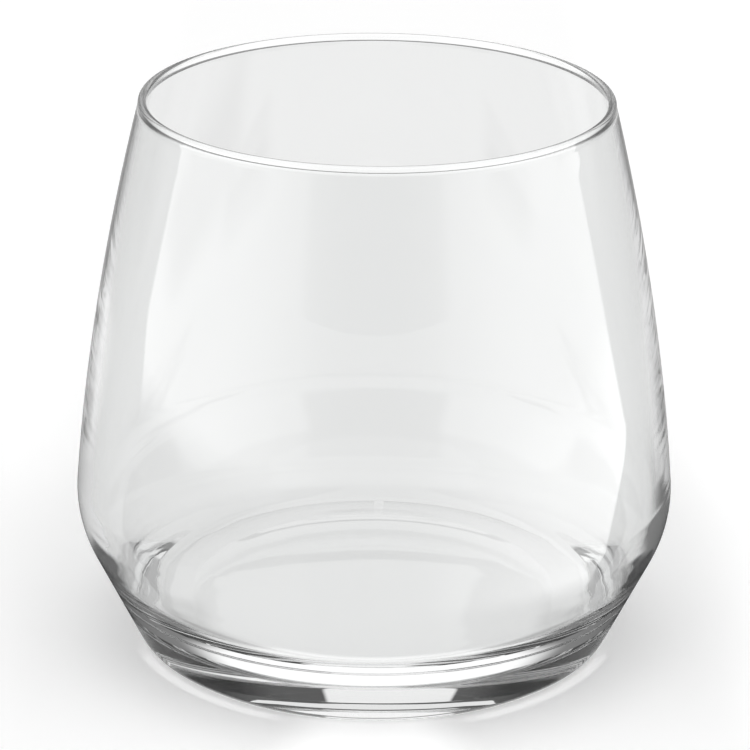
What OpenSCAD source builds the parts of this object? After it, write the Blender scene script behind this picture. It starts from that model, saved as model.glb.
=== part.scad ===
// Stemless wine glass: one blown piece of clear glass with a thick pressed base.
// It stands on the XY plane, +Z runs up its axis of revolution, and lengths are millimetres.

/* [Outside] */
// Height from the table to the top of the rim
height = 84.5; // [70:0.5:110]
// Outside diameter just under the rounded rim
rim_d = 70; // [60:0.2:80]
// Outside diameter at the widest place
belly_d = 91; // [86:0.5:105]
// Height of the widest place above the table
belly_h = 23.3; // [20:0.1:32]
// Diameter at which the flared lower side would meet the table
foot_d = 72.7; // [62:0.1:80]
// Radius of the shoulder between the lower side and the tall wall
shoulder_r = 18; // [8:0.5:20]
// Lean of the tall wall where it leaves the shoulder, in degrees
shoulder_lean = 4.9; // [0:0.1:8]
// Lean of the tall wall at the rim, in degrees
rim_lean = 14.5; // [5:0.1:25]

/* [Wall] */
// Thickness of the rounded bead at the rim
rim_t = 1.3; // [1.25:0.05:2]
// Thickness of the wall just under the bead
lip_t = 1.1; // [0.7:0.05:1.2]
// Thickness of the wall where it leaves the shoulder
side_t = 2; // [1.4:0.1:4]

/* [Base] */
// Height of the flat floor above the table
floor_h = 5.8; // [4:0.1:10]
// Diameter of the flat floor, where it runs out into the rounded inside corner
floor_d = 53; // [30:1:62]
// Radius of the foot's bottom edge
edge_r = 2.4; // [0.3:0.1:3]
// Diameter of the hollow under the foot, inside the ring that it stands on
hollow_d = 58; // [40:1:62]
// Depth of the hollow under the foot at its middle
hollow_depth = 0.8; // [0.2:0.1:2]

/* [Hidden] */

// Steps along each stretch of the outline, and round the axis
wall_steps = 28;
arc_steps = 10;
round_steps = 96;
// How far the inside keeps to the wall's line, and to the floor's, before it turns into the corner
wall_pull = 0.31;
floor_pull = 0.74;
glass_colour = [0.86, 0.9, 0.91, 0.35];

rim_r = rim_d / 2;
belly_r = belly_d / 2;
foot_r = foot_d / 2;

// The lower side is the tangent from the foot's edge to the shoulder's circle
shoulder_c = [belly_r - shoulder_r, belly_h];
foot_to_c = shoulder_c - [foot_r, 0];
side_len = sqrt(foot_to_c * foot_to_c - shoulder_r * shoulder_r);
side_lean = atan2(foot_to_c[0], foot_to_c[1]) + atan2(shoulder_r, side_len);

// Unit vector up a wall that leans inwards by an angle, and the one that points into the glass
function up(lean) = [-sin(lean), cos(lean)];
function inward(lean) = [-cos(lean), -sin(lean)];

// Point of a smooth curve from a to d that leaves along ab and arrives along cd
function curve(a, b, c, d, u) =
    pow(1 - u, 3) * a + 3 * u * pow(1 - u, 2) * b + 3 * u * u * (1 - u) * c + pow(u, 3) * d;

// Points of a circle's arc round c from angle a to angle b
function arc(c, r, a, b, steps) =
    [for (i = [0 : steps]) let (w = a + (b - a) * i / steps) c + r * [cos(w), sin(w)]];

// A line of points without its ends
function inner(points) = [for (i = [1 : len(points) - 2]) points[i]];

// The tall wall is one smooth curve from the shoulder to the bead
bead_r = rim_t / 2;
bead_turn = acos(lip_t / rim_t);
wall_start = shoulder_c - inward(shoulder_lean) * shoulder_r;
bead_c = [rim_r - lip_t / 2 * cos(rim_lean), height - bead_r];
wall_end = bead_c - inward(rim_lean) * lip_t / 2 - up(rim_lean) * bead_r * sin(bead_turn);
wall_reach = (wall_end[1] - wall_start[1]) / 3;
wall_p1 = wall_start + up(shoulder_lean) * wall_reach;
wall_p2 = wall_end - up(rim_lean) * wall_reach;
function wall_point(u) = curve(wall_start, wall_p1, wall_p2, wall_end, u);
function wall_slope(u) =
    pow(1 - u, 2) * (wall_p1 - wall_start) + 2 * u * (1 - u) * (wall_p2 - wall_p1)
    + u * u * (wall_end - wall_p2);
function wall_in(u) = let (d = wall_slope(u)) [-d[1], d[0]] / norm(d);
function wall_t(u) = side_t + (lip_t - side_t) * u;

// Outside, from the ring that it stands on up to the bead
edge_c = [foot_r + edge_r * tan(side_lean) - edge_r / cos(side_lean), edge_r];
edge = arc(edge_c, edge_r, -90, -side_lean, arc_steps);
shoulder = arc(shoulder_c, shoulder_r, -side_lean, shoulder_lean, arc_steps * 2);
wall_out = [for (i = [1 : wall_steps]) wall_point(i / wall_steps)];
bead = inner(arc(bead_c, bead_r, rim_lean - bead_turn, rim_lean + 180 + bead_turn,
    arc_steps * 2));

// Inside, from under the bead down to the shoulder
wall_inside = [for (i = [wall_steps : -1 : 1]) let (u = i / wall_steps)
    wall_point(u) + wall_in(u) * wall_t(u)];

// The wall's line and the floor's level meet at the knee, and the bowl's curve rounds it
bowl_start = wall_start + inward(shoulder_lean) * side_t;
bowl_end = [floor_d / 2, floor_h];
knee = bowl_start - up(shoulder_lean) * (bowl_start[1] - floor_h) / cos(shoulder_lean);
bowl_p1 = bowl_start + (knee - bowl_start) * wall_pull;
bowl_p2 = bowl_end + (knee - bowl_end) * floor_pull;
bowl = [for (i = [0 : wall_steps]) curve(bowl_start, bowl_p1, bowl_p2, bowl_end, i / wall_steps)];

// The floor is flat, and the foot is hollow underneath
hollow = [for (i = [0 : arc_steps]) let (t = i / arc_steps)
    [hollow_d / 2 * t, hollow_depth * (1 - t * t)]];

module wine_glass() {
    color(glass_colour)
        rotate_extrude($fn = round_steps)
            polygon(concat(hollow, edge, shoulder, wall_out, bead, wall_inside, bowl,
                           [[0, floor_h]]));
}

wine_glass();
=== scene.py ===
"""Looks of a stemless wine glass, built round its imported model. Lengths are metres, +Z is up."""
import math

import bpy
from mathutils import Matrix, Vector


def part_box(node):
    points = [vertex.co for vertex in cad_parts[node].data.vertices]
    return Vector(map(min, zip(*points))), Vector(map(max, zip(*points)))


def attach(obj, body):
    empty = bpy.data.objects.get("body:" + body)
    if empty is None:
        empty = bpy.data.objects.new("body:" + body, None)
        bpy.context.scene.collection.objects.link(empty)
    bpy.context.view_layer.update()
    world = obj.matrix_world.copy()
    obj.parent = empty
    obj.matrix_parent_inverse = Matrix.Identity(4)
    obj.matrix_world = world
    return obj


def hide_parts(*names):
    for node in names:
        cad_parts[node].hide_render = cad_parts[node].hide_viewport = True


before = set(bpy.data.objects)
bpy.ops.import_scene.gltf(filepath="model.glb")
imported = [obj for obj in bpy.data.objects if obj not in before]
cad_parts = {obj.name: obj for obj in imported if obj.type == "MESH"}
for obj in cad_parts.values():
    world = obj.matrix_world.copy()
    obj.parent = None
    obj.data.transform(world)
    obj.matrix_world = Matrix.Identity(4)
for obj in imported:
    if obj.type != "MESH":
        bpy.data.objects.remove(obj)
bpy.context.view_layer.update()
GLASS_LOW, GLASS_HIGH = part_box("wine_glass")
BODY = "root"
MM = 0.001

bl_info = {
    "name": "Stemless Wine Glass",
    "version": (1, 0, 0),
    "blender": (4, 5, 0),
    "location": "3D View > Sidebar > Wine Glass",
    "description": "Builds a clear stemless wine glass and a plain white studio round it",
    "category": "Object",
}


class Field:
    """A socket of a node tree that can be used in Python expressions."""

    def __init__(self, build, socket):
        self.build = build
        self.socket = socket

    def _math(self, operation, *values):
        return self.build.node("ShaderNodeMath", {"operation": operation}, values)

    def __add__(self, other):
        return self._math("ADD", self, other)

    __radd__ = __add__

    def __sub__(self, other):
        return self._math("SUBTRACT", self, other)

    def __rsub__(self, other):
        return self._math("SUBTRACT", other, self)

    def __mul__(self, other):
        return self._math("MULTIPLY", self, other)

    __rmul__ = __mul__

    def __truediv__(self, other):
        return self._math("DIVIDE", self, other)

    def __gt__(self, other):
        return self._math("GREATER_THAN", self, other)

    def __lt__(self, other):
        return self._math("LESS_THAN", self, other)

    def __neg__(self):
        return self * -1

    def __pow__(self, other):
        return self._math("POWER", self, other)

    def __abs__(self):
        return self._math("ABSOLUTE", self)

    def sin(self):
        return self._math("SINE", self)

    def cos(self):
        return self._math("COSINE", self)

    def arcsin(self):
        return self._math("ARCSINE", self)

    def turn_to(self, other):
        """Angle whose sine goes with self and whose cosine goes with other."""
        return self._math("ARCTAN2", self, other)

    def maximum(self, other):
        return self._math("MAXIMUM", self, other)

    def rise(self, low, high):
        """0 below low and 1 above high, with a smooth rise between."""
        return self.build.node("ShaderNodeMapRange", {"interpolation_type": "SMOOTHSTEP"},
                               {"Value": self, "From Min": low, "From Max": high})

    def between(self, low, high, soft):
        """1 from low to high and 0 outside, with soft edges."""
        return self.rise(low - soft, low + soft) * (1 - self.rise(high - soft, high + soft))


class Build:
    """Adds nodes to one tree: each call gives the type, the settings and the values or links."""

    def __init__(self, tree):
        self.tree = tree
        tree.nodes.clear()

    def node(self, kind, settings=None, values=(), output=0):
        made = self.tree.nodes.new(kind)
        for name, value in (settings or {}).items():
            setattr(made, name, value)
        pairs = values.items() if isinstance(values, dict) else enumerate(values)
        for key, value in pairs:
            if isinstance(value, Field):
                self.tree.links.new(value.socket, made.inputs[key])
            elif value is not None:
                made.inputs[key].default_value = value
        if not len(made.outputs):
            return made
        return Field(self, made.outputs[output])

    def other(self, field, output):
        """Another output of the node that a field comes from."""
        return Field(self, field.socket.node.outputs[output])

    def place(self):
        """Sets the nodes out in columns, each node to the right of what feeds it."""
        depth = {}

        def reach(n):
            if n.name not in depth:
                depth[n.name] = 0
                sources = [link.from_node for s in n.inputs for link in s.links]
                depth[n.name] = 1 + max([reach(source) for source in sources], default=0)
            return depth[n.name]

        rows = {}
        for n in self.tree.nodes:
            column = reach(n)
            rows[column] = rows.get(column, 0) + 1
            n.location = (220 * column, -200 * rows[column])


def length(name, value, about, low=0.0):
    return bpy.props.FloatProperty(name=name, default=value, min=low, description=about,
                                   subtype="DISTANCE", unit="LENGTH", precision=5)


def angle(name, degrees, about):
    return bpy.props.FloatProperty(name=name, default=math.radians(degrees), description=about,
                                   subtype="ANGLE", unit="ROTATION")


def number(name, value, about, low=0.0, high=1000.0):
    return bpy.props.FloatProperty(name=name, default=value, min=low, max=high,
                                   description=about, precision=4)


def colour(name, value, about):
    return bpy.props.FloatVectorProperty(name=name, default=value, size=3, min=0.0, max=1.0,
                                         subtype="COLOR", description=about)


class WineGlassSizes(bpy.types.PropertyGroup):
    """Sizes of the glass."""

    height: length("Height", GLASS_HIGH.z, "From the table to the top of the rim")
    belly_d: length("Belly diameter", GLASS_HIGH.x - GLASS_LOW.x, "Outside, at the widest place")
    belly_h: length("Belly height", 23.3 * MM, "Height of the widest place")
    rim_d: length("Rim diameter", 70 * MM, "Outside, just under the rounded rim")
    foot_d: length("Foot diameter", 72.7 * MM, "Where the flared side would meet the table")
    shoulder_r: length("Shoulder radius", 18 * MM, "Between the flared side and the wall")
    shoulder_lean: angle("Shoulder lean", 4.9, "Lean of the wall where it leaves the shoulder")
    rim_lean: angle("Rim lean", 14.5, "Lean of the wall at the rim")
    rim_t: length("Rim thickness", 1.3 * MM, "Thickness of the rounded bead at the rim")
    lip_t: length("Lip thickness", 1.1 * MM, "Thickness of the wall just under the bead")
    side_t: length("Side thickness", 2 * MM, "Thickness of the wall where it leaves the shoulder")
    floor_h: length("Floor height", 5.8 * MM, "Flat floor above the table")
    floor_d: length("Floor diameter", 53 * MM, "Where the floor runs out into the rounded corner")
    edge_r: length("Edge radius", 2.4 * MM, "Radius of the foot's bottom edge")
    hollow_d: length("Hollow diameter", 58 * MM, "Hollow under the foot")
    hollow_depth: length("Hollow depth", 0.8 * MM, "Depth of the hollow at its middle")
    wall_pull: number("Wall pull", 0.31, "How far the inside keeps to the wall's line", 0.0, 1.0)
    floor_pull: number("Floor pull", 0.74, "How far the inside keeps to the floor's line", 0.0, 1.0)
    ripple: length("Ripple", 0.085 * MM, "Height of the ripples on the inside, low down")
    ripple_pitch: length("Ripple pitch", 2.4 * MM, "Height of one ripple ring")
    ripple_arc: length("Ripple arc", 22 * MM, "Length of one ripple along its ring")


class WineGlassFinishAndPaintedRim(bpy.types.PropertyGroup):
    """Colours of the glass and the studio, the glass's refractive index, and the painted shade and
    painted highlight at the rim.
    """

    tint: colour("Tint", (0.985, 0.99, 0.988), "What clear glass lets through")
    ior: number("Refractive index", 1.5, "Refractive index of the glass", 1.0, 3.0)
    # Rim edge is painted shade: how dark the edges of the rounded rim are painted.
    rim_painted_shade: number("Rim edge", 0.85, "How dark the edges of the rounded rim look", 0.0, 1.0)
    # Rim shine is a painted highlight: light emitted across the middle of the rounded rim.
    rim_painted_glow: number("Rim shine", 0.08, "Light that the rounded rim gathers", 0.0, 1.0)
    floor_colour: colour("Floor", (0.88, 0.88, 0.88), "Colour of the floor")


def unit(lean):
    """Unit vector in the outline's plane, at an angle from straight up towards the axis."""
    return Vector((-math.sin(lean), math.cos(lean)))


def inward(lean):
    return Vector((-math.cos(lean), -math.sin(lean)))


def arc(centre, radius, start, end, steps):
    turns = [start + (end - start) * i / steps for i in range(steps + 1)]
    return [centre + radius * Vector((math.cos(w), math.sin(w))) for w in turns]


def curve(a, b, c, d, u):
    v = 1 - u
    return v**3 * a + 3 * u * v * v * b + 3 * u * u * v * c + u**3 * d


def curve_slope(a, b, c, d, u):
    v = 1 - u
    return v * v * (b - a) + 2 * u * v * (c - b) + u * u * (d - c)


class Outline:
    """The closed half outline of the glass as stretches of (radius, height) points."""

    WALL_STEPS = 60
    SIDE_STEPS = 16
    ARC_STEPS = 16

    def __init__(self, s):
        right = math.pi / 2
        foot = Vector((s.foot_d / 2, 0.0))
        shoulder_c = Vector((s.belly_d / 2 - s.shoulder_r, s.belly_h))
        to_c = shoulder_c - foot
        side_len = math.sqrt(to_c.length_squared - s.shoulder_r**2)
        lean = math.atan2(to_c.x, to_c.y) + math.atan2(s.shoulder_r, side_len)
        wall_start = shoulder_c - inward(s.shoulder_lean) * s.shoulder_r
        bead_r = s.rim_t / 2
        bead_turn = math.acos(s.lip_t / s.rim_t)
        bead_c = Vector((s.rim_d / 2 - s.lip_t / 2 * math.cos(s.rim_lean), s.height - bead_r))
        wall_end = (bead_c - inward(s.rim_lean) * s.lip_t / 2
                    - unit(s.rim_lean) * bead_r * math.sin(bead_turn))
        reach = (wall_end.y - wall_start.y) / 3
        wall = (wall_start, wall_start + unit(s.shoulder_lean) * reach,
                wall_end - unit(s.rim_lean) * reach, wall_end)

        def wall_point(u):
            return curve(*wall, u)

        def wall_in(u):
            slope = curve_slope(*wall, u)
            return Vector((-slope.y, slope.x)).normalized()

        edge_x = foot.x + s.edge_r * math.tan(lean) - s.edge_r / math.cos(lean)
        self.edge = arc(Vector((edge_x, s.edge_r)), s.edge_r, -right, -lean, self.ARC_STEPS)
        self.shoulder = arc(shoulder_c, s.shoulder_r, -lean, s.shoulder_lean, self.ARC_STEPS * 2)
        steps = [i / self.WALL_STEPS for i in range(1, self.WALL_STEPS + 1)]
        self.wall = [wall_point(u) for u in steps]
        self.bead = arc(bead_c, bead_r, s.rim_lean - bead_turn,
                        s.rim_lean + math.pi + bead_turn, self.ARC_STEPS * 2)[1:-1]
        self.wall_inside = [
            wall_point(u) + wall_in(u) * (s.side_t + (s.lip_t - s.side_t) * u)
            for u in reversed(steps)]

        bowl_start = wall_start + inward(s.shoulder_lean) * s.side_t
        bowl_end = Vector((s.floor_d / 2, s.floor_h))
        drop = (bowl_start.y - s.floor_h) / math.cos(s.shoulder_lean)
        knee = bowl_start - unit(s.shoulder_lean) * drop
        bowl = (bowl_start, bowl_start.lerp(knee, s.wall_pull),
                bowl_end.lerp(knee, s.floor_pull), bowl_end)
        self.bowl = [curve(*bowl, i / self.WALL_STEPS) for i in range(self.WALL_STEPS)]
        shares = [i / (self.ARC_STEPS * 2) for i in range(self.ARC_STEPS * 2 + 1)]
        self.floor = [Vector((s.floor_d / 2 * (1 - t), s.floor_h)) for t in shares]
        self.hollow = [Vector((s.hollow_d / 2 * t, s.hollow_depth * (1 - t * t)))
                       for t in shares]

    def points(self):
        """All points from the axis under the foot, up the outside and down the inside."""
        low, high = self.edge[-1], self.shoulder[0]
        side = [low.lerp(high, i / self.SIDE_STEPS) for i in range(1, self.SIDE_STEPS)]
        outside = self.hollow + self.edge + side + self.shoulder + self.wall
        return outside + self.bead, self.wall_inside + self.bowl + self.floor


def turned(build, profile, count, segments):
    """Sweeps the profile's points round the axis as a grid, whose rows are the profile."""
    grid = build.node("GeometryNodeMeshGrid", values={
        "Size X": 1.0, "Size Y": 1.0, "Vertices X": count, "Vertices Y": segments + 1})
    spot = build.node("GeometryNodeInputPosition")
    across = build.node("ShaderNodeSeparateXYZ", values=[spot])
    row = (across + 0.5) * (count - 1)
    index = build.node("FunctionNodeFloatToInt", {"rounding_mode": "ROUND"}, [row])
    turn = (0.5 - build.other(across, 1)) * (2 * math.pi)
    sampled = build.node("GeometryNodeSampleIndex", {"data_type": "FLOAT_VECTOR"},
                         {"Geometry": profile, "Value": spot, "Index": index})
    point = build.node("ShaderNodeSeparateXYZ", values=[sampled])
    place = build.node("ShaderNodeCombineXYZ", values=[
        point * turn.cos(), point * turn.sin(), build.other(point, 2)])
    ripple = build.node("GeometryNodeInputNamedAttribute", {"data_type": "FLOAT"},
                        {"Name": "ripple_share"})
    share = build.node("GeometryNodeSampleIndex", {"data_type": "FLOAT"},
                       {"Geometry": profile, "Value": ripple, "Index": index})
    stored = build.node("GeometryNodeStoreNamedAttribute",
                        {"data_type": "FLOAT", "domain": "POINT"},
                        {"Geometry": grid, "Name": "ripple_share", "Value": share})
    swept = build.node("GeometryNodeSetPosition", values={"Geometry": stored, "Position": place})
    return build.node("GeometryNodeMergeByDistance", values={"Geometry": swept, "Distance": 1e-7})


def turning_tree(material, count, segments):
    """Geometry nodes that turn the glass from its outline and ripple its thick inside."""
    tree = bpy.data.node_groups.new("turned_glass", "GeometryNodeTree")
    face = tree.interface
    face.new_socket("Outline", in_out="INPUT", socket_type="NodeSocketGeometry")
    for name in ("Ripple Height", "Ripple Pitch", "Ripple Arc"):
        face.new_socket(name, in_out="INPUT", socket_type="NodeSocketFloat")
    face.new_socket("Glass", in_out="OUTPUT", socket_type="NodeSocketGeometry")
    build = Build(tree)
    given = build.node("NodeGroupInput")
    height, pitch, stretch = (build.other(given, i) for i in (1, 2, 3))
    body = turned(build, given, count, segments)
    spot = build.node("ShaderNodeSeparateXYZ", values=[build.node("GeometryNodeInputPosition")])
    where = build.node("ShaderNodeCombineXYZ", values=[
        spot / stretch, build.other(spot, 1) / stretch, build.other(spot, 2) / pitch])
    wave = build.node("ShaderNodeTexNoise", {"noise_dimensions": "3D"},
                      {"Vector": where, "Scale": 1.0, "Detail": 2.0, "Roughness": 0.45})
    share = build.node("GeometryNodeInputNamedAttribute", {"data_type": "FLOAT"},
                       {"Name": "ripple_share"})
    rise = (wave - 0.5) * height * share
    normal = build.node("GeometryNodeInputNormal")
    offset = build.node("ShaderNodeVectorMath", {"operation": "SCALE"},
                        {"Vector": normal, "Scale": rise})
    rippled = build.node("GeometryNodeSetPosition", values={"Geometry": body, "Offset": offset})
    smooth = build.node("GeometryNodeSetShadeSmooth", values={"Geometry": rippled})
    real = build.node("GeometryNodeRealizeInstances", values=[smooth])
    dressed = build.node("GeometryNodeSetMaterial", values={"Geometry": real, "Material": material})
    build.node("NodeGroupOutput", values=[dressed])
    build.place()
    return tree


def profile_object(outside, inside, ripple_of):
    """The outline as a row of points, with each point's share of the ripples."""
    points = outside + inside
    mesh = bpy.data.meshes.new("glass_outline")
    mesh.from_pydata([(p.x, 0.0, p.y) for p in points],
                     [(i, i + 1) for i in range(len(points) - 1)], [])
    shares = mesh.attributes.new("ripple_share", "FLOAT", "POINT")
    for i, p in enumerate(points):
        shares.data[i].value = ripple_of(p) if i >= len(outside) else 0.0
    made = bpy.data.objects.new("wine_glass_body", mesh)
    bpy.context.collection.objects.link(made)
    return made


def made_plain(piece):
    """Puts the result of a piece's modifiers into its mesh, and takes them off."""
    graph = bpy.context.evaluated_depsgraph_get()
    mesh = bpy.data.meshes.new_from_object(piece.evaluated_get(graph))
    mesh.name = piece.name
    piece.modifiers.clear()
    piece.data = mesh
    return piece


def material(name):
    made = bpy.data.materials.new(name)
    made.use_nodes = True
    return made, Build(made.node_tree)


def clear_glass(finish, top):
    """Clear fire-polished glass, faintly swelled low down, with painted shade on the edges of the
    rim's bead and a painted highlight glowing across its middle.

    Facing is 0 where the bead faces the eye and 1 at its edges.
    """
    made, build = material("clear_glass")
    place = build.node("ShaderNodeTexCoord", output=3)
    height = build.other(build.node("ShaderNodeSeparateXYZ", values=[place]), 2)
    rim = height.rise(top - 1.3 * MM, top - 1.15 * MM)
    facing = build.node("ShaderNodeLayerWeight", values={"Blend": 0.5}, output=1)
    # Painted shade: the glass colour goes towards black at the edges of the rim's bead.
    edge = rim * facing.rise(0.42, 0.74) * finish.rim_painted_shade
    # tint is the glass colour with that painted shade mixed in at the rim.
    tint = build.node("ShaderNodeMix", {"data_type": "RGBA"}, {
        0: edge, 6: (*finish.tint, 1.0), 7: (0.0, 0.0, 0.0, 1.0)}, output=2)
    # shine is a painted highlight, emitted by the rim's bead where it faces the eye.
    shine = rim * (1 - facing.rise(0.5, 0.8)) * finish.rim_painted_glow
    swell = build.node("ShaderNodeTexNoise", values={
        "Vector": place, "Scale": 55.0, "Detail": 1.0, "Roughness": 0.4})
    bump = build.node("ShaderNodeBump", values={
        "Strength": 0.05, "Distance": 0.0004, "Height": swell * (1 - height.rise(0.02, 0.03))})
    shader = build.node("ShaderNodeBsdfPrincipled", values={
        "Base Color": tint, "Roughness": 0.0, "IOR": finish.ior,
        "Transmission Weight": 1.0, "Emission Color": shine, "Emission Strength": 1.0,
        "Normal": bump})
    build.node("ShaderNodeOutputMaterial", values={"Surface": shader})
    build.place()
    return made


class GLASS_OT_body(bpy.types.Operator):
    """Turn the glass from its outline"""

    bl_idname = "wine_glass.body"
    bl_label = "Glass Body"

    SEGMENTS = 256
    # The ripples end this far above the widest place, and fade out over the next length
    RIPPLE_TOP, RIPPLE_FADE = 13 * MM, 17 * MM
    # On the floor they begin at the first share of its radius and are full after the second
    RIPPLE_START, RIPPLE_RISE = 0.55, 0.3

    def execute(self, context):
        sizes = context.scene.wine_glass_sizes
        outside, inside = Outline(sizes).points()
        top = sizes.belly_h + self.RIPPLE_TOP

        def ripple_of(p):
            above = min(1.0, max(0.0, (top - p.y) / self.RIPPLE_FADE))
            share = 2 * p.x / sizes.floor_d
            out = min(1.0, max(0.0, (share - self.RIPPLE_START) / self.RIPPLE_RISE))
            return above * out

        glass = profile_object(outside, inside, ripple_of)
        finish = clear_glass(context.scene.wine_glass_finish, sizes.height)
        turning = glass.modifiers.new("turned_glass", "NODES")
        tree = turning_tree(finish, len(outside) + len(inside), self.SEGMENTS)
        turning.node_group = tree
        given = {"Ripple Height": sizes.ripple, "Ripple Pitch": sizes.ripple_pitch,
                 "Ripple Arc": sizes.ripple_arc}
        for item in tree.interface.items_tree:
            if item.in_out == "INPUT" and item.name in given:
                turning[item.identifier] = given[item.name]
        made_plain(glass)
        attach(glass, BODY)
        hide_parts("wine_glass")
        return {"FINISHED"}


def emission(build, tone):
    return build.node("ShaderNodeEmission", values={"Color": tone, "Strength": 1.0})


def kinds_of_ray(build):
    """1 for a ray that the camera sees straight, mirrored by the glass or through it, else 0."""
    path = build.node("ShaderNodeLightPath").socket.node.outputs
    first = Field(build, path["Diffuse Depth"]) < 0.5
    straight, glossy, through = (
        Field(build, path[f"Is {kind} Ray"]) * first
        for kind in ("Camera", "Glossy", "Transmission"))
    return straight, glossy * (1 - through), through


def course_in_glass(build):
    """1 for a ray that was mirrored on its way, and for one that the glass bent at most twice."""
    path = build.node("ShaderNodeLightPath").socket.node.outputs
    return Field(build, path["Glossy Depth"]) > 0.5, Field(build, path["Transmission Depth"]) < 2.5


class GLASS_OT_stage(bpy.types.Operator):
    """Set up the white floor with its painted light and shade, the soft studio round it and the
    camera
    """

    bl_idname = "wine_glass.stage"
    bl_label = "Studio"

    PITCH, ROLL = math.radians(21.48), math.radians(0.48)
    DISTANCE, TARGET_Z, LENS = 0.4726, 0.04035, 149.3
    FLOOR_REACH = 4.0

    # Angles are degrees round the glass from straight behind it, with the right side positive
    BACKDROP = (-14.1, 7.9)
    SIDE_LIGHTS = (86, 150)
    BOX_START = (72, 74)

    # Distances are from the axis. The foot stands on the floor within the first of them.
    STANDING = (0.0366, 0.0372)
    # Places on the floor: start, end and softness of the angle, then of the distance
    # RIM_OF_LIGHT is painted caustic light on the floor round the foot.
    RIM_OF_LIGHT = (112, 158, 6), (0.0368, 0.0383, 0.0004)
    # The zones below are painted shade and painted light that only the glass shows.
    PAINTED_CORNER_SHADE = (104, 139, 9), (0.0285, 0.0385, 0.003)
    PAINTED_FLANK_SHADE = (70, 100, 5), (0.044, 0.062, 0.003)
    PAINTED_RIGHT_SHADE = (38, 84, 6), (0.054, 0.088, 0.006)
    PAINTED_LIGHT_STRIPS = (28, 56, 6), (0.1, 0.2, 0.02)

    def execute(self, context):
        self.camera(context.scene)
        self.floor(context.scene.wine_glass_finish)
        self.world(context.scene)
        context.scene.view_settings.view_transform = "Standard"
        self.deep_light(context.scene.cycles)
        return {"FINISHED"}

    def deep_light(self, cycles):
        """Lets light pass through both walls and the thick base, and be mirrored inside it."""
        cycles.max_bounces = 64
        cycles.transmission_bounces = 48
        cycles.glossy_bounces = 48

    def camera(self, scene):
        data = bpy.data.cameras.new("camera")
        data.sensor_width = 36.0
        data.lens = self.LENS
        camera = bpy.data.objects.new("camera", data)
        scene.collection.objects.link(camera)
        turn = (Matrix.Rotation(math.pi / 2 - self.PITCH, 4, "X")
                @ Matrix.Rotation(self.ROLL, 4, "Z"))
        away = Vector((0, -self.DISTANCE * math.cos(self.PITCH),
                       self.TARGET_Z + self.DISTANCE * math.sin(self.PITCH)))
        camera.matrix_world = Matrix.Translation(away) @ turn
        scene.camera = camera

    @staticmethod
    def zone(angle, away, limits):
        """1 in a place on the floor and 0 outside."""
        return angle.between(*limits[0]) * away.between(*limits[1])

    def floor(self, finish):
        made, build = material("studio_floor")
        straight, mirrored, through = kinds_of_ray(build)
        spot = build.node("ShaderNodeSeparateXYZ", values=[
            build.node("ShaderNodeTexCoord", output=3)])
        across, along = spot, build.other(spot, 1)
        away = (across * across + along * along)**0.5
        azimuth = across.turn_to(along) * math.degrees(1)
        # glow is an even lift of the floor plus painted pools of light, for camera rays only.
        glow = emission(build, straight * self.floor_glow(across, away, azimuth))
        paint = build.node("ShaderNodeBsdfDiffuse", values={"Color": (*finish.floor_colour, 1.0)})
        painted = build.node("ShaderNodeAddShader", values=[paint, glow])
        # shown is the painted light and shade that only rays mirrored or bent by the glass see.
        shown = emission(build, self.floor_painted_for_glass(build, mirrored, through, away, azimuth))
        both = build.node("ShaderNodeMixShader", values=[mirrored + through, painted, shown])
        build.node("ShaderNodeOutputMaterial", values={"Surface": both})
        build.place()
        reach = self.FLOOR_REACH
        mesh = bpy.data.meshes.new("studio_floor")
        corners = [(-reach, -reach, 0), (reach, -reach, 0), (reach, reach, 0), (-reach, reach, 0)]
        mesh.from_pydata(corners, [], [(0, 1, 2, 3)])
        mesh.materials.append(made)
        plane = bpy.data.objects.new("studio_floor", mesh)
        bpy.context.collection.objects.link(plane)

    def floor_glow(self, across, away, azimuth):
        """Light that the floor adds to itself for camera rays: an even lift all over, and painted
        pools of light in front, round the foot as painted caustic crescents, and at the sides.
        """
        aside = abs(azimuth)
        # front is painted light in front of the glass, before it fades with distance.
        front = aside.rise(158, 172) * 0.22 + aside.rise(100, 150) * 0.04
        painted_front_light_pool = front * (1 - away.rise(0.045, 0.09))
        painted_caustic_crescents = self.zone(aside, away, self.RIM_OF_LIGHT) * 0.16
        painted_side_light = ((across.rise(0.048, 0.064) * 0.12 + (-across).rise(0.048, 0.064) * 0.05)
                     * (1 - aside.rise(112, 135)))
        return 0.25 + painted_front_light_pool + painted_caustic_crescents + painted_side_light

    def floor_painted_for_glass(self, build, mirrored, through, away, azimuth):
        """Painted light and shade that the floor shows only to rays the glass mirrors or bends:
        painted reflections of the surround, and painted shade and light seen through the glass.
        """
        turned_back, near = course_in_glass(build)
        aside = abs(azimuth)
        bent = through * turned_back * near
        standing = 1 - away.rise(*self.STANDING)
        # base is painted shade: mid grey where the foot stands, for mirrored rays that the glass
        # bent more than twice.
        base = mirrored * standing * (1 - near)
        held = (mirrored * near + bent) * standing * away.rise(0.012, 0.02)
        held = held.maximum(bent * (1 - away.rise(0.044, 0.05)) * (1 - aside.rise(80, 90)))
        # inner is a painted reflection of the dark surround, the side lights and the backdrop, for
        # rays held in the glass.
        painted_surround = (0.08 + aside.rise(85, 100) * 0.17 + aside.rise(122, 142) * 0.88
                 + azimuth.between(*self.BACKDROP, 2) * 0.9)
        lit = mirrored + through
        mirror = self.floor_painted_reflection(away, azimuth)
        clear = self.floor_painted_through_glass(away, azimuth, turned_back, near)
        # Elsewhere mirrored rays see the painted reflection, and bent rays the painted floor through
        # the glass.
        rest = (lit - held - base).maximum(0) * (mirrored * mirror + through * clear)
        return (held * painted_surround + base * 0.5 + rest) / lit.maximum(0.01)

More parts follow.
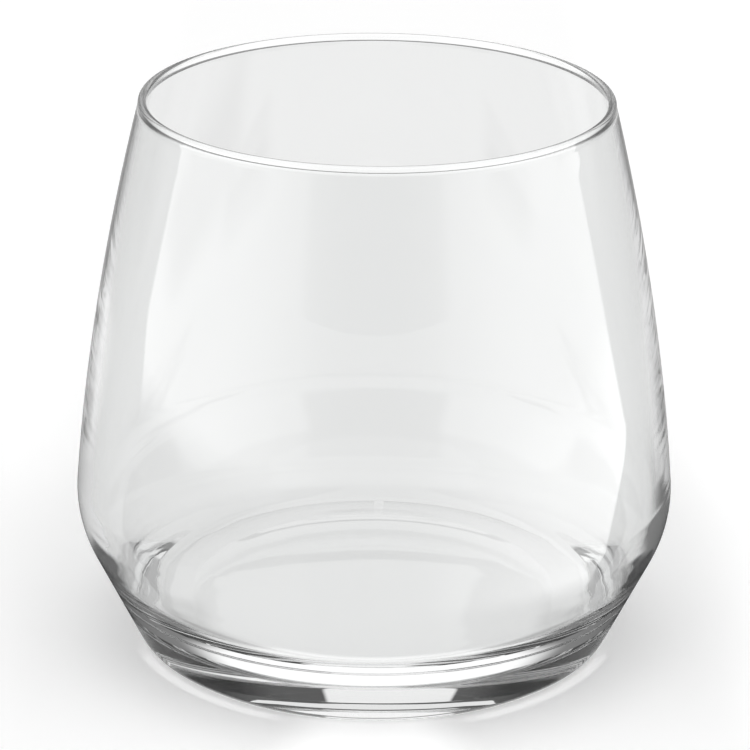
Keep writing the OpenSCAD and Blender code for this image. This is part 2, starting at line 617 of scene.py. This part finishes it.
    def floor_painted_reflection(self, away, azimuth):
        """Painted reflection: the soft boxes that the outer face mirrors, painted onto the floor
        above each place, with side lights that bend near the foot.
        """
        reach_left = away.rise(0.2, 0.36)
        reach_right = away.rise(0.06, 0.09) * (1.35 - away.rise(0.2, 0.5) * 0.35)
        near_left, near_right = 1 - away.rise(0.1, 0.5), 1 - away.rise(0.05, 0.2)
        return self.mirror(azimuth, reach_left, reach_right, 5 + near_left * 9, 4 + near_right * 38)

    def floor_painted_through_glass(self, away, azimuth, turned_back, near):
        """The floor through the glass, with painted shade where its thick lower part would gather
        the dark surround, and painted light and painted shade in strips, under the foot, at its
        front edge and near its edge at the sides.
        """
        aside, right = abs(azimuth), azimuth > 0
        # under is painted shade: slightly darker under the foot.
        under = 1 - away.rise(0.036, 0.044)
        painted_front_edge_light = aside.rise(138, 150) * away.between(0.0245, 0.0366, 0.002)
        # flank is painted shade on the floor beside the foot, at both sides.
        painted_flank_shade = self.zone(aside, away, self.PAINTED_FLANK_SHADE) * turned_back.maximum(near)
        # edge is painted shade towards the right, for rays mirrored on their way; dark holds the
        # painted shade of both patches.
        edge = self.zone(azimuth, away, self.PAINTED_RIGHT_SHADE) * turned_back
        dark = (painted_flank_shade * (0.74 + right * 0.08)).maximum(edge * 0.62)
        # strips are painted light in bands behind the glass, to both sides.
        painted_light_strips = self.zone(aside, away, self.PAINTED_LIGHT_STRIPS) * turned_back
        # For rays not mirrored on their way, the front edge zone is painted light at the front of
        # the foot, and the corner zone is painted shade near the foot's edge.
        corner = self.zone(aside, away, self.PAINTED_CORNER_SHADE)
        return (0.87 - under * 0.05 - dark + painted_light_strips * (0.3 - right * 0.16)
                + (painted_front_edge_light * 0.26 - corner * 0.34) * (1 - turned_back))

    def mirror(self, azimuth, left, right, turn_left, turn_right):
        """What the outer face mirrors: soft boxes at both sides, dim behind and in front.

        Each box shows as much as its share says, and is turned round the glass by its turn.
        """
        # On the floor these tones are painted reflections; in the world they are its lights.
        aside, side = abs(azimuth), azimuth > 0
        shown = side * right + (1 - side) * left
        start = aside - (side * turn_right + (1 - side) * turn_left)
        begun = start.rise(*self.BOX_START)
        box = begun * (0.1 + 2.4 * (1 - aside.rise(110, 175)))
        behind = 0.03 + 0.5 * (1 - aside.rise(20, 60))
        return box * shown + behind * (1 - begun * shown)

    def world(self, scene):
        """White to the camera, and to the glass a bright field behind and tall side lights."""
        world = bpy.data.worlds.new("studio")
        world.use_nodes = True
        scene.world = world
        build = Build(world.node_tree)
        straight, mirrored, through = kinds_of_ray(build)
        way = build.node("ShaderNodeSeparateXYZ", values=[build.node("ShaderNodeTexCoord")])
        azimuth = way.turn_to(build.other(way, 1)) * math.degrees(1)
        elevation = build.other(way, 2).arcsin() * math.degrees(1)
        aside = abs(azimuth)
        backdrop = azimuth.between(*self.BACKDROP, 0.6) * elevation.rise(11, 15)
        sides = aside.between(*self.SIDE_LIGHTS, 4)
        softbox = sides * (1 - elevation.rise(30, 38))
        overhead = elevation.rise(60, 68)
        dim = 0.03 + 0.08 * (1 - aside.rise(14, 28)) + 0.12 * aside.rise(52, 62)
        passed = (backdrop * 0.95).maximum(softbox * 0.95).maximum(overhead * 0.9).maximum(dim)
        over = elevation.rise(10, 36)
        mirror = self.mirror(azimuth, 1.0, 1.0, 5.0, 0.5) * (1 - over) + over * 0.6
        light = (0.1 + sides * (1 - elevation.rise(60, 66)) * 0.79
                 + elevation.rise(50, 60) * 1.58)
        diffuse = 1 - straight - mirrored - through
        shade = straight + through * passed + mirrored * mirror + diffuse * light
        back = build.node("ShaderNodeBackground", values={"Color": shade, "Strength": 1.0})
        build.node("ShaderNodeOutputWorld", values={"Surface": back})
        build.place()


class GLASS_PT_panel(bpy.types.Panel):
    """Lists the sizes, the glass and studio settings with the painted rim, and the steps that build
    the glass
    """

    bl_idname = "GLASS_PT_panel"
    bl_label = "Stemless Wine Glass"
    bl_space_type = "VIEW_3D"
    bl_region_type = "UI"
    bl_category = "Wine Glass"

    def draw(self, context):
        for operator in STEPS:
            self.layout.operator(operator.bl_idname)
        for group in (context.scene.wine_glass_sizes, context.scene.wine_glass_finish):
            column = self.layout.column(align=True)
            for name in group.__annotations__:
                column.prop(group, name)


STEPS = (GLASS_OT_stage, GLASS_OT_body)
CLASSES = (WineGlassSizes, WineGlassFinishAndPaintedRim, *STEPS, GLASS_PT_panel)


def register():
    for made in CLASSES:
        bpy.utils.register_class(made)
    bpy.types.Scene.wine_glass_sizes = bpy.props.PointerProperty(type=WineGlassSizes)
    bpy.types.Scene.wine_glass_finish = bpy.props.PointerProperty(type=WineGlassFinishAndPaintedRim)


def unregister():
    del bpy.types.Scene.wine_glass_finish
    del bpy.types.Scene.wine_glass_sizes
    for made in reversed(CLASSES):
        bpy.utils.unregister_class(made)


def main():
    register()
    bpy.ops.wine_glass.stage()
    bpy.ops.wine_glass.body()


if __name__ == "__main__":
    main()
